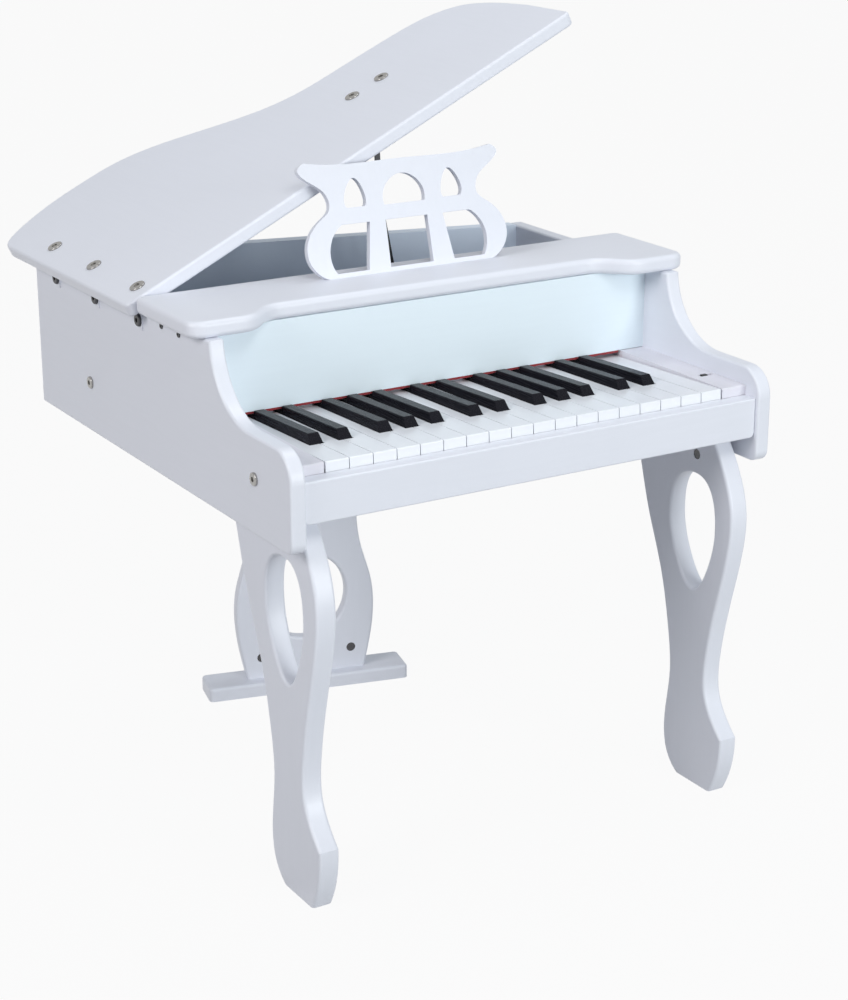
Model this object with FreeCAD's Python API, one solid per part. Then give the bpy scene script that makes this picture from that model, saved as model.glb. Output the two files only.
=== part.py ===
"""A child's grand piano in painted wood: a small electronic keyboard in a grand-shaped case.

Millimetres. +Z is up, +Y runs from the keyboard to the tail, +X is the player's right.
Lengths along Y are written from the front ends of the side panels. save() then moves
every piece back by half of the plan depth, so that the origin lies on the floor under
the middle of the piano. The lid is drawn shut and swung open about its hinge pins.
"""
import FreeCAD, Part
import math, os
from FreeCAD import Vector as V

# ---- case -----------------------------------------------------------------
CASE_W = 508.0          # over the outer faces of the side panels
BOARD = 15.0            # thickness of the case boards
LEFT_DEPTH = 542.5      # length of the long (hinge side) panel
RIGHT_DEPTH = 422.0     # length of the short panel; the back runs from one to the other
PANEL_BOTTOM = 342.0
PANEL_TOP = 495.0
ARM_LEVEL = 431.0       # height of the arms beside the keys
ARM_SWEEP_Y = 146.0     # where the sweep down to the arm starts under the shelf
SWEEP_R = 70.0          # hollow curve of the sweep
ARM_R = 27.0            # rounded front end of the arm
ARM_TOE_R = 10.0        # rounded lower corner of the arm
PANEL_ROUND = 2.5       # rounding of the panel edges
FLOOR_BOTTOM = 366.0    # underside of the bottom board and of the key slip
SLIP_FRONT = 4.0        # the key slip stands back from the arm ends
SLIP_TOP = 404.0
SLIP_CORNER = 5.0
FIT = 0.05              # radial clearance of pins and screws
GAP = 0.6               # clearance between loose neighbours
CHEEK_W = 27.5          # width of the blocks beside the keys
KEY_SIDE_GAP = 1.2      # between a cheek block and the outer key

# ---- keyboard -------------------------------------------------------------
WHITE_COUNT = 18
KEY_TOP = 413.5         # front edge of a white key
KEY_DIP = 2.1           # degrees; a key at rest falls this much to the back, pressed it is level
KEY_GAP = 0.9
WHITE_PLATE = 6.0       # thickness of a white key's top
LIP_H = 20.0            # height of a white key's front lip
LIP_T = 4.0
HEAD_DEPTH = 51.0       # wide front part of a white key
BLACK_W = 13.5
BLACK_TOP_W = 10.5
BLACK_H = 8.5
BLACK_TAPER = 1.5       # a black key is this much lower at its back end
NECK_H = 3.0            # a black key's neck under the fallboard
BLACK_SLOPE = 7.0       # how far the front face of a black key leans back
BLACK_OFFSETS = {0: -2.6, 1: 2.6, 3: -3.3, 4: 0.0, 5: 3.3}   # after C, D, F, G, A
PIVOT_Y = 215.0
PIVOT_Z = 400.0
PIVOT_R = 2.0
HUB_R = 7.0
BRACKET_T = 3.0         # plates of the key frame that carry the pivot rod
FRAME_T = 3.0           # base plate of the key frame
CIRCUIT_T = 1.6
CIRCUIT_Y = 140.0       # middle of the contact board
CIRCUIT_W = 30.0
DOME_H = 6.4            # rubber strip with its domes
DOME_R = 3.5
PRESS_GAP = 2.9         # free travel between a key's plunger and its dome

# ---- fallboard, shelf, music stand ----------------------------------------
FALL_FRONT = 181.0
FALL_T = 12.0
FALL_BOTTOM = 414.0
FELT_T = 2.8
SHELF_T = 15.5
SHELF_OVERHANG = 14.0
SHELF_FRONT = 179.0     # straight middle of the front edge
SHELF_WING_FRONT = 152.0
SHELF_WING_W = 52.0     # width of the deep part at each end
SHELF_OGEE_W = 50.0     # width of the S-shaped step
SHELF_BACK = 269.5
SHELF_CORNER = 16.0
SHELF_ROUND = 5.0
BATTEN = 15.0
BATTEN_L = 60.0
BATTEN_Y = 197.0
STAND_X = 4.5
STAND_Y = 233.5
STAND_LEAN = 14.5
STAND_T = 6.0
STAND_H = 105.0
PEG_R = 2.8
PEG_L = 12.0
PEG_X = 70.0
PEG_CLEAR = 0.2

# ---- lid and its hinges ---------------------------------------------------
LID_OVERHANG_LEFT = 16.0
LID_OVERHANG_RIGHT = 10.0
LID_T = 13.6
LID_FRONT = 270.5
LID_DEPTH = 602.0       # how far the tail reaches back
LID_OPEN = 25.8         # degrees
LID_ROUND = 2.5
LID_CORNER = 6.0        # front corners in plan
HINGE_YS = (293.0, 392.0, 488.0)
HINGE_W = 20.0
LEAF_T = 1.2
KNUCKLE_R = 2.3
HINGE_PIN_R = 1.0
HINGE_DROP = 20.0       # height of the leaf on the panel
HINGE_REACH = 17.0      # width of the leaf under the lid
LEAF_SEAT = 0.2         # lid leaf above the panel's top edge
LID_BOLT_S = 10.9       # from the hinge axis to the bolts of the lid leaves
LID_BOLT_R = 2.0
LID_HEAD_R = 7.5
LID_HEAD_H = 1.6
SIDE_SCREW_Z = 483.0
HINGE_SCREW_SHIFT = -4.0    # from the middle of the leaf, towards the keys
SIDE_SCREW_R = 1.6
SIDE_HEAD_R = 6.0
SHELF_SCREW_Z = 487.5
SHELF_SCREW_YS = (206.0, 242.0)
SHELF_HEAD_R = 2.8

# ---- folding lid stay -----------------------------------------------------
STAY_Y = 393.0          # plane between the two links
STAY_LID_X = 88.0       # upper pivot, lid shut
STAY_DROP = 8.0         # upper pivot below the lid
STAY_FOOT_X = 91.0
STAY_FOOT_H = 10.0      # lower pivot above the bottom board
UPPER_LINK = 105.0
LOWER_LINK = 146.0
LINK_W = 6.0
LINK_T = 1.6
LINK_GAP = 0.2
STAY_PIN_R = 2.0
STAY_BOLT_SPAN = 37.0
LUG_T = 1.5
LUG_W = 14.0

# ---- legs -----------------------------------------------------------------
LEG_T = 20.0
LEG_INSET = 6.4         # from the side panel's inner face
LEG_ROUND = 3.0
LEG_SEAT = 0.3          # rear leg clear of the back panel
FOOT_BAR_L = 224.0
FOOT_BAR_W = 43.0
FOOT_BAR_CORNER = 5.0
REAR_NUT_X = 50.5
REAR_NUT_Z = 39.0

# ---- connector bolts and barrel nuts --------------------------------------
BOLT_R = 3.0
BOLT_HEAD_R = 6.0
BOLT_HEAD_H = 2.2
NUT_R = 5.0
NUT_L = 12.0
SIDE_BOLT_Z = 393.0
LEFT_BOLT_YS = (65.0, 413.0)
RIGHT_BOLT_YS = (65.0, 330.0)
LEG_BOLT_YS = (55.0, 130.0)
LEG_NUT_DROP = 26.0     # barrel nut below the top of the leg
CHEEK_END_GAP = 10.0

# ---- electronics ----------------------------------------------------------
SPEAKER_X, SPEAKER_Y, SPEAKER_R, SPEAKER_H = -60.0, 335.0, 38.0, 30.0
GRILLE_HOLE_R = 2.5
BATTERY_INSET, BATTERY_Y = 74.0, 400.0     # middle of the tray from the left panel's inner face
CELL_R, CELL_L, CELL_COUNT = 7.0, 50.0, 4
TRAY_T = 2.0
SWITCH_Y = 66.0
SWITCH_SHIFT = 3.0      # towards the arm from the middle of the cheek block
SWITCH_SLOT = (14.0, 5.0, 3.0)
SWITCH_KNOB = (6.0, 4.0, 4.0)
SWITCH_TRAVEL = 4.0

# ---- outlines -------------------------------------------------------------
# lid, behind the hinges, from right to left: width, distance in front of the tail
LID_RIGHT_END, LID_LEFT_END = 257.0, 42.0
LID_CURVE = ((260.5, 222.0), (254.0, 187.0), (245.0, 164.0), (234.0, 150.0), (207.0, 133.5),
             (175.0, 127.5), (130.0, 124.5), (94.0, 123.0), (60.0, 120.0), (25.0, 108.0),
             (0.0, 91.5), (-60.0, 39.0), (-118.0, 4.5), (-160.0, 0.5), (-200.0, 3.0),
             (-230.0, 10.5), (-254.0, 21.0), (-266.0, 31.0))
# front legs: distance behind the side panels' front ends, height
LEG_TOP_FRONT, LEG_TOP_BACK = 36.0, 162.0
LEG_FRONT_EDGE = ((13.0, 332.0), (0.0, 296.0), (3.0, 250.0), (16.5, 195.0), (28.5, 135.0),
                  (27.0, 97.0), (13.0, 74.0))
LEG_INSTEP = (0.0, 61.0)
LEG_TOE = ((2.0, 34.0), (15.0, 0.0))
LEG_BACK_EDGE = ((70.0, 0.0), (88.0, 22.0), (91.5, 50.0), (85.5, 105.0), (91.0, 150.0),
                 (107.0, 210.0), (130.0, 265.0), (142.0, 302.0))
LEG_HOLE = ((58.0, 320.0), (87.0, 305.0), (93.0, 276.0), (82.0, 232.0), (54.0, 203.0),
            (33.0, 232.0), (25.0, 277.0), (33.0, 307.0))
# rear leg, right half: half-width, height
REAR_TOP_HALF, REAR_FOOT_HALF = 78.0, 66.0
REAR_EDGE = ((66.0, 290.0), (59.0, 205.0), (63.0, 160.0), (75.0, 115.0), (77.0, 80.0), (72.0, 42.0))
REAR_HOLE_Z, REAR_HOLE_H, REAR_HOLE_W = 105.0, 96.0, 92.0
# music stand, right half: distance from its middle, height along its face
STAND_CREST = 70.0
STAND_TIP = (102.0, 109.0)
STAND_EDGE = ((109.0, 102.0), (97.0, 90.0), (82.5, 77.0), (81.0, 65.0), (92.0, 55.0),
              (107.0, 38.0), (109.0, 20.0), (100.0, 6.0))
STAND_FOOT = 90.0
STAND_LEAF = ((43.0, 64.0), (44.0, 82.0), (52.0, 91.0), (60.0, 84.0), (62.0, 64.0))
STAND_WINDOW = ((40.0, 49.0), (70.0, 49.0), (82.0, 37.0), (86.0, 24.0), (81.0, 4.4), (47.0, 4.4))
STAND_ARCH = ((22.0, 63.0), (17.0, 83.0), (0.0, 91.0))
STAND_MIDDLE = ((23.0, 49.0), (23.5, 4.4))

# ---- places that follow from the sizes ------------------------------------
HALF = CASE_W / 2
INNER = HALF - BOARD
FLOOR_TOP = FLOOR_BOTTOM + BOARD
SLIP_BACK = SLIP_FRONT + BOARD
KEY_FRONT = SLIP_BACK + 1.0
CHEEK_INNER = INNER - CHEEK_W
KEYS_W = 2 * (CHEEK_INNER - KEY_SIDE_GAP)
PITCH = KEYS_W / WHITE_COUNT                         # of the white keys
KEY_LEVEL = KEY_TOP - (PIVOT_Y - KEY_FRONT) * math.tan(math.radians(KEY_DIP))   # key pressed
SLANT = (RIGHT_DEPTH - LEFT_DEPTH) / CASE_W          # slope of the back in plan
SLANT_DEG = math.degrees(math.atan(SLANT))
BACK_RUN = BOARD / math.cos(math.radians(SLANT_DEG)) # back panel measured along Y
SHELF_TOP = PANEL_TOP + SHELF_T
HINGE_X = -HALF - KNUCKLE_R - 0.1
HINGE_Z = PANEL_TOP + LEAF_SEAT - LEAF_T
LID_BOTTOM = HINGE_Z + 2 * LEAF_T                    # lid shut
LID_LEFT = -HALF - LID_OVERHANG_LEFT
LID_RIGHT = HALF + LID_OVERHANG_RIGHT
LEG_OUTER = INNER - LEG_INSET
ORIGIN_Y = LID_DEPTH / 2
BATTERY_X = -INNER + BATTERY_INSET


def back_y(x):
    """Outer face of the slanted back panel, at width x."""
    return LEFT_DEPTH + SLANT * (x + HALF)


# the rear leg's mid-plane on the centre line, just inside the back panel
REAR_LEG_Y = back_y(0) - BACK_RUN - (BOARD / 2 + LEG_SEAT) / math.cos(math.radians(SLANT_DEG))


# ---- helpers --------------------------------------------------------------
def save(name, *shapes):
    os.makedirs("parts", exist_ok=True)
    shape = shapes[0] if len(shapes) == 1 else Part.makeCompound(list(shapes))
    shape = shape.copy()
    shape.translate(V(0, -ORIGIN_Y, 0))
    shape.exportStep("parts/%s.step" % name)


def box(x0, x1, y0, y1, z0, z1):
    return Part.makeBox(x1 - x0, y1 - y0, z1 - z0, V(x0, y0, z0))


def rod(r, start, direction, length):
    return Part.makeCylinder(r, length, start, direction)


def spline(points, start=None, end=None, closed=False):
    curve = Part.BSplineCurve()
    if closed:
        curve.interpolate(Points=points, PeriodicFlag=True)
    elif start is not None and end is not None:
        curve.interpolate(Points=points, InitialTangent=start, FinalTangent=end)
    else:
        curve.interpolate(Points=points)
    return curve.toShape()


def line(a, b):
    return Part.makeLine(a, b)


def arc(a, m, b):
    return Part.Arc(a, m, b).toShape()


def plate(outline, thickness_vector, *holes):
    """Board cut to an outline (a list of edges), with cut-outs through it."""
    solid = Part.Face(Part.Wire(outline)).extrude(thickness_vector)
    for hole in holes:
        solid = solid.cut(Part.Face(Part.Wire(hole)).extrude(thickness_vector))
    return solid


def round_faces(solid, radius, axis, keep=None):
    """Round every edge that lies in a broad face square to the axis."""
    edges = []
    low = {"x": solid.BoundBox.XMin, "y": solid.BoundBox.YMin, "z": solid.BoundBox.ZMin}[axis]
    high = {"x": solid.BoundBox.XMax, "y": solid.BoundBox.YMax, "z": solid.BoundBox.ZMax}[axis]
    for edge in solid.Edges:
        b = edge.BoundBox
        e0, e1 = {"x": (b.XMin, b.XMax), "y": (b.YMin, b.YMax), "z": (b.ZMin, b.ZMax)}[axis]
        flat = abs(e0 - e1) < 1e-4 and (abs(e0 - low) < 1e-4 or abs(e0 - high) < 1e-4)
        if flat and (keep is None or keep(edge)):
            edges.append(edge)
    return solid.makeFillet(radius, edges)


def mirrored(shape):
    return shape.mirror(V(0, 0, 0), V(1, 0, 0))


def opened(shape):
    """Swing a piece of the lid from shut to open about the hinge pins."""
    out = shape.copy()
    out.rotate(V(HINGE_X, 0, HINGE_Z), V(0, 1, 0), -LID_OPEN)
    return out


def slanted(shape):
    """Turn a piece drawn square behind the centre line parallel to the back."""
    out = shape.copy()
    out.rotate(V(0, REAR_LEG_Y, 0), V(0, 0, 1), SLANT_DEG)
    return out


def bolt(seat, direction, length, r, head_r, head_h):
    """Round-headed bolt with a hexagon socket; its head sits on the seat."""
    d = V(direction).normalize()
    body = rod(r, seat, d, length)
    head = rod(head_r, seat - d * head_h, d, head_h)
    crown = [e for e in head.Edges if e.Curve.TypeId == "Part::GeomCircle"
             and (e.CenterOfMass - (seat - d * head_h)).Length < 1e-3]
    head = head.makeFillet(min(head_h, head_r) * 0.45, crown)
    hexagon = Part.makePolygon([V(head_r * 0.42 * math.cos(math.radians(a)),
                                  head_r * 0.42 * math.sin(math.radians(a)), 0)
                                for a in range(0, 361, 60)])
    socket = Part.Face(hexagon).extrude(V(0, 0, head_h * 0.7))
    socket.Placement = FreeCAD.Placement(seat - d * head_h, FreeCAD.Rotation(V(0, 0, 1), d))
    return head.fuse(body).removeSplitter().cut(socket)


def barrel_nut(mouth, axis, length, cross):
    """Barrel nut let in from its mouth, with its cross hole along the bolt."""
    a = V(axis).normalize()
    nut = rod(NUT_R, mouth, a, length)
    middle = mouth + a * (length / 2)
    c = V(cross).normalize()
    return nut.cut(rod(BOLT_R + FIT, middle - c * (NUT_R + 1), c, 2 * NUT_R + 2))


# ---- connector bolts: where each goes, and the holes it needs --------------
fittings = []
bores = {"left": [], "right": [], "cheek_l": [], "cheek_r": [], "floor": [],
         "leg": [], "rear_leg": [], "bar": []}

NUT_IN = (HALF - CHEEK_INNER - BOARD) / 2 + BOARD        # from the panel's face to the nut
for side, ys in ((-1, LEFT_BOLT_YS), (1, RIGHT_BOLT_YS)):
    panel, cheek = ("left", "cheek_l") if side < 0 else ("right", "cheek_r")
    for y in ys:
        seat = V(side * HALF, y, SIDE_BOLT_Z)
        inward = V(-side, 0, 0)
        reach = NUT_IN + NUT_R + 1
        fittings.append(bolt(seat, inward, reach, BOLT_R, BOLT_HEAD_R, BOLT_HEAD_H))
        mouth = V(side * (HALF - NUT_IN), y, SIDE_BOLT_Z - NUT_L / 2)
        fittings.append(barrel_nut(mouth, V(0, 0, 1), NUT_L, inward))
        bores[panel].append(rod(BOLT_R + FIT, seat, inward, BOARD))
        bores[cheek].append(rod(BOLT_R + FIT, seat, inward, reach + 1))
        bores[cheek].append(rod(NUT_R + FIT, V(mouth.x, y, FLOOR_TOP), V(0, 0, 1),
                                mouth.z + NUT_L - FLOOR_TOP))

LEG_MID = LEG_OUTER - LEG_T / 2
HEAD_SINK = BOLT_HEAD_H + 0.3
for y in LEG_BOLT_YS:
    for side in (-1, 1):
        seat = V(side * LEG_MID, y, FLOOR_TOP - HEAD_SINK)
        length = seat.z - FLOOR_BOTTOM + LEG_NUT_DROP + NUT_R + 2
        fittings.append(bolt(seat, V(0, 0, -1), length, BOLT_R, BOLT_HEAD_R, BOLT_HEAD_H))
        mouth = V(side * (LEG_OUTER - LEG_T + 0.5), y, FLOOR_BOTTOM - LEG_NUT_DROP)
        fittings.append(barrel_nut(mouth, V(side, 0, 0), LEG_T - 1, V(0, 0, 1)))
        bores["floor"].append(rod(BOLT_R + FIT, V(seat.x, y, FLOOR_BOTTOM), V(0, 0, 1), BOARD))
        bores["floor"].append(rod(BOLT_HEAD_R + 0.3, seat, V(0, 0, 1), HEAD_SINK))
        if side < 0:
            bores["leg"].append(rod(BOLT_R + FIT, V(seat.x, y, FLOOR_BOTTOM), V(0, 0, -1),
                                    LEG_NUT_DROP + NUT_R + 3))
            bores["leg"].append(rod(NUT_R + FIT, V(-(LEG_OUTER - LEG_T), y, mouth.z),
                                    V(-1, 0, 0), LEG_T - 0.5))

REAR_FRONT = REAR_LEG_Y - BOARD / 2
for side in (-1, 1):
    x = side * REAR_NUT_X
    nut_mouth = REAR_FRONT + 0.3
    seat = V(x, REAR_LEG_Y, FLOOR_TOP - HEAD_SINK)
    length = seat.z - FLOOR_BOTTOM + LEG_NUT_DROP + NUT_R + 2
    fittings.append(slanted(bolt(seat, V(0, 0, -1), length, BOLT_R, BOLT_HEAD_R, BOLT_HEAD_H)))
    fittings.append(slanted(barrel_nut(V(x, nut_mouth, FLOOR_BOTTOM - LEG_NUT_DROP), V(0, 1, 0),
                                       BOARD - 0.6, V(0, 0, 1))))
    bores["floor"].append(slanted(rod(BOLT_R + FIT, V(x, REAR_LEG_Y, FLOOR_BOTTOM), V(0, 0, 1), BOARD)))
    bores["floor"].append(slanted(rod(BOLT_HEAD_R + 0.3, seat, V(0, 0, 1), HEAD_SINK)))
    bores["rear_leg"].append(rod(BOLT_R + FIT, V(x, REAR_LEG_Y, FLOOR_BOTTOM), V(0, 0, -1),
                                 LEG_NUT_DROP + NUT_R + 3))
    bores["rear_leg"].append(rod(NUT_R + FIT, V(x, REAR_FRONT, FLOOR_BOTTOM - LEG_NUT_DROP),
                                 V(0, 1, 0), BOARD))
    seat = V(x, REAR_LEG_Y, HEAD_SINK)
    length = REAR_NUT_Z + NUT_R + 2 - seat.z
    fittings.append(slanted(bolt(seat, V(0, 0, 1), length, BOLT_R, BOLT_HEAD_R, BOLT_HEAD_H)))
    fittings.append(slanted(barrel_nut(V(x, nut_mouth, REAR_NUT_Z), V(0, 1, 0), BOARD - 0.6,
                                       V(0, 0, 1))))
    bores["bar"].append(rod(BOLT_R + FIT, V(x, REAR_LEG_Y, 0), V(0, 0, 1), BOARD))
    bores["bar"].append(rod(BOLT_HEAD_R + 0.3, V(x, REAR_LEG_Y, 0), V(0, 0, 1), HEAD_SINK))
    bores["rear_leg"].append(rod(BOLT_R + FIT, V(x, REAR_LEG_Y, BOARD), V(0, 0, 1),
                                 REAR_NUT_Z + NUT_R + 3 - BOARD))
    bores["rear_leg"].append(rod(NUT_R + FIT, V(x, REAR_FRONT, REAR_NUT_Z), V(0, 1, 0), BOARD))
save("connector_fittings", *fittings)


# ---- side panels ----------------------------------------------------------
def side_outline(x, depth):
    """Edges of a side panel's outline in the plane at x, front end at y = 0."""
    def p(y, z):
        return V(x, y, z)
    q = math.sqrt(0.5)
    sweep_c = (ARM_SWEEP_Y - SWEEP_R, ARM_LEVEL + SWEEP_R)
    rise = PANEL_TOP - sweep_c[1]
    top_y = sweep_c[0] + math.sqrt(SWEEP_R ** 2 - rise ** 2)
    arm_c = (ARM_R, ARM_LEVEL - ARM_R)
    toe_c = (ARM_TOE_R, PANEL_BOTTOM + ARM_TOE_R)
    return [
        line(p(depth, PANEL_BOTTOM), p(depth, PANEL_TOP)),
        line(p(depth, PANEL_TOP), p(top_y, PANEL_TOP)),
        arc(p(top_y, PANEL_TOP), p(sweep_c[0] + SWEEP_R * q, sweep_c[1] - SWEEP_R * q),
            p(sweep_c[0], ARM_LEVEL)),
        line(p(sweep_c[0], ARM_LEVEL), p(arm_c[0], ARM_LEVEL)),
        arc(p(arm_c[0], ARM_LEVEL), p(arm_c[0] - ARM_R * q, arm_c[1] + ARM_R * q), p(0, arm_c[1])),
        line(p(0, arm_c[1]), p(0, toe_c[1])),
        arc(p(0, toe_c[1]), p(toe_c[0] - ARM_TOE_R * q, toe_c[1] - ARM_TOE_R * q),
            p(toe_c[0], PANEL_BOTTOM)),
        line(p(toe_c[0], PANEL_BOTTOM), p(depth, PANEL_BOTTOM)),
    ]


side_screw_places = [(-1, y + HINGE_SCREW_SHIFT, SIDE_SCREW_Z, SIDE_SCREW_R, SIDE_HEAD_R, LEAF_T)
                     for y in HINGE_YS]
side_screw_places += [(s, y, SHELF_SCREW_Z, SIDE_SCREW_R, SHELF_HEAD_R, 0.0)
                      for s in (-1, 1) for y in SHELF_SCREW_YS]
SIDE_SCREW_L = 13.0     # grip of a hinge screw in the panel
SHELF_SCREW_L = BOARD + 10.0


def screw_bore(side, y, z, r, is_shelf):
    length = SHELF_SCREW_L if is_shelf else SIDE_SCREW_L
    return rod(r + FIT, V(side * HALF, y, z), V(-side, 0, 0), length)


for name, side, depth, key in (("left_side_panel", -1, LEFT_DEPTH, "left"),
                               ("right_side_panel", 1, RIGHT_DEPTH, "right")):
    x = -HALF if side < 0 else INNER
    panel = plate(side_outline(x, depth), V(BOARD, 0, 0))
    panel = round_faces(panel, PANEL_ROUND, "x")
    for tool in bores[key]:
        panel = panel.cut(tool)
    for s, y, z, r, head_r, leaf in side_screw_places:
        if s == side:
            panel = panel.cut(screw_bore(s, y, z, r, leaf == 0))
    save(name, panel)

screws = []
for s, y, z, r, head_r, leaf in side_screw_places:
    length = (SHELF_SCREW_L if leaf == 0 else SIDE_SCREW_L) - 0.5 + leaf
    screws.append(bolt(V(s * (HALF + leaf), y, z), V(-s, 0, 0), length, r, head_r, head_r * 0.45))
save("side_screws", *screws)

# ---- back panel: cut off square to the side panels -------------------------
back = Part.Face(Part.makePolygon([
    V(-INNER, back_y(-INNER), PANEL_BOTTOM), V(INNER, back_y(INNER), PANEL_BOTTOM),
    V(INNER, back_y(INNER) - BACK_RUN, PANEL_BOTTOM),
    V(-INNER, back_y(-INNER) - BACK_RUN, PANEL_BOTTOM),
    V(-INNER, back_y(-INNER), PANEL_BOTTOM)])).extrude(V(0, 0, PANEL_TOP - PANEL_BOTTOM))
save("back_panel", back)

# ---- bottom board ---------------------------------------------------------
floor = Part.Face(Part.makePolygon([
    V(-INNER, SLIP_BACK, FLOOR_BOTTOM), V(INNER, SLIP_BACK, FLOOR_BOTTOM),
    V(INNER, back_y(INNER) - BACK_RUN, FLOOR_BOTTOM),
    V(-INNER, back_y(-INNER) - BACK_RUN, FLOOR_BOTTOM),
    V(-INNER, SLIP_BACK, FLOOR_BOTTOM)])).extrude(V(0, 0, BOARD))
for tool in bores["floor"]:
    floor = floor.cut(tool)
for ring, count in ((0.0, 1), (0.3, 6), (0.55, 12), (0.8, 18)):
    for k in range(count):
        a = 2 * math.pi * k / count
        floor = floor.cut(rod(GRILLE_HOLE_R, V(SPEAKER_X + ring * SPEAKER_R * math.cos(a),
                                               SPEAKER_Y + ring * SPEAKER_R * math.sin(a),
                                               FLOOR_BOTTOM), V(0, 0, 1), BOARD))
save("bottom_board", floor)

# ---- key slip: the rail in front of the keys -------------------------------
slip = box(-INNER, INNER, SLIP_FRONT, SLIP_BACK, FLOOR_BOTTOM, SLIP_TOP)
corners = [e for e in slip.Edges if abs(e.BoundBox.YLength - BOARD) < 1e-4
           and e.BoundBox.ZMax < FLOOR_BOTTOM + 1e-3]
slip = slip.makeFillet(SLIP_CORNER, corners)
slip = round_faces(slip, PANEL_ROUND * 0.6, "y", lambda e: e.BoundBox.YMax < SLIP_FRONT + 1e-3)
save("key_slip", slip)

# ---- cheek blocks: long rails beside the keys ------------------------------
def cheek(side, end):
    x0, x1 = (-INNER, -CHEEK_INNER) if side < 0 else (CHEEK_INNER, INNER)
    rail = box(x0, x1, KEY_FRONT, end, FLOOR_TOP, KEY_TOP)
    front = [e for e in rail.Edges if e.BoundBox.YMax < KEY_FRONT + 1e-3
             and e.BoundBox.ZMin > KEY_TOP - 1e-3]
    rail = rail.makeFillet(1.5, front)
    for tool in bores["cheek_l" if side < 0 else "cheek_r"]:
        rail = rail.cut(tool)
    return rail


SWITCH_X = (CHEEK_INNER + INNER) / 2 + SWITCH_SHIFT
slot_l, slot_w, slot_d = SWITCH_SLOT
left_cheek = cheek(-1, back_y(-INNER) - BACK_RUN - CHEEK_END_GAP)
right_cheek = cheek(1, back_y(CHEEK_INNER) - BACK_RUN - CHEEK_END_GAP - (INNER - CHEEK_INNER))
right_cheek = right_cheek.cut(box(SWITCH_X - slot_l / 2, SWITCH_X + slot_l / 2,
                                  SWITCH_Y - slot_w / 2, SWITCH_Y + slot_w / 2,
                                  KEY_TOP - slot_d, KEY_TOP))
save("cheek_blocks", left_cheek, right_cheek)

knob_l, knob_w, knob_h = SWITCH_KNOB
knob_x = SWITCH_X - slot_l / 2 + 1.5
knob = box(knob_x, knob_x + knob_l, SWITCH_Y - knob_w / 2, SWITCH_Y + knob_w / 2,
           KEY_TOP - slot_d + FIT, KEY_TOP - slot_d + FIT + knob_h)
knob = round_faces(knob, 0.6, "z", lambda e: e.BoundBox.ZMin > KEY_TOP)
save("power_switch", knob)

# ---- keys: drawn pressed, where they are level, then let up ----------------
NOTES = ["c", "d", "e", "f", "g", "a", "b"]


def black_centre(i):
    """Middle of the black key that follows white key i, or None."""
    degree = i % 7
    if degree not in BLACK_OFFSETS or i == WHITE_COUNT - 1:
        return None
    return -KEYS_W / 2 + (i + 1) * PITCH + BLACK_OFFSETS[degree]


SEAM_NOTCH = BRACKET_T / 2 - KEY_GAP / 2 + KEY_GAP   # room for a bracket between two white tails
END_NOTCH = BRACKET_T + KEY_GAP / 2                  # room for the end brackets
HEAD_END = KEY_FRONT + HEAD_DEPTH
TAIL_END = PIVOT_Y + HUB_R
TAIL_T = 9.0
PLUNGER_BOTTOM = (FLOOR_TOP + FRAME_T + CIRCUIT_T + DOME_H + PRESS_GAP
                  - (PIVOT_Y - CIRCUIT_Y) * math.tan(math.radians(KEY_DIP)))
brackets = [-KEYS_W / 2 - GAP / 2, KEYS_W / 2 + GAP / 2]


def side_profile(x0, x1, points):
    return Part.Face(Part.makePolygon([V(x0, y, z) for y, z in points + points[:1]])
                     ).extrude(V(x1 - x0, 0, 0))


def hub(x0, x1):
    return rod(HUB_R, V(x0, PIVOT_Y, PIVOT_Z), V(1, 0, 0), x1 - x0)


def pivot_bore(x0, x1):
    return rod(PIVOT_R + FIT, V(x0 - 1, PIVOT_Y, PIVOT_Z), V(1, 0, 0), x1 - x0 + 2)


def let_up(key):
    out = key.copy()
    out.rotate(V(0, PIVOT_Y, PIVOT_Z), V(1, 0, 0), -KEY_DIP)
    return out


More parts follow.
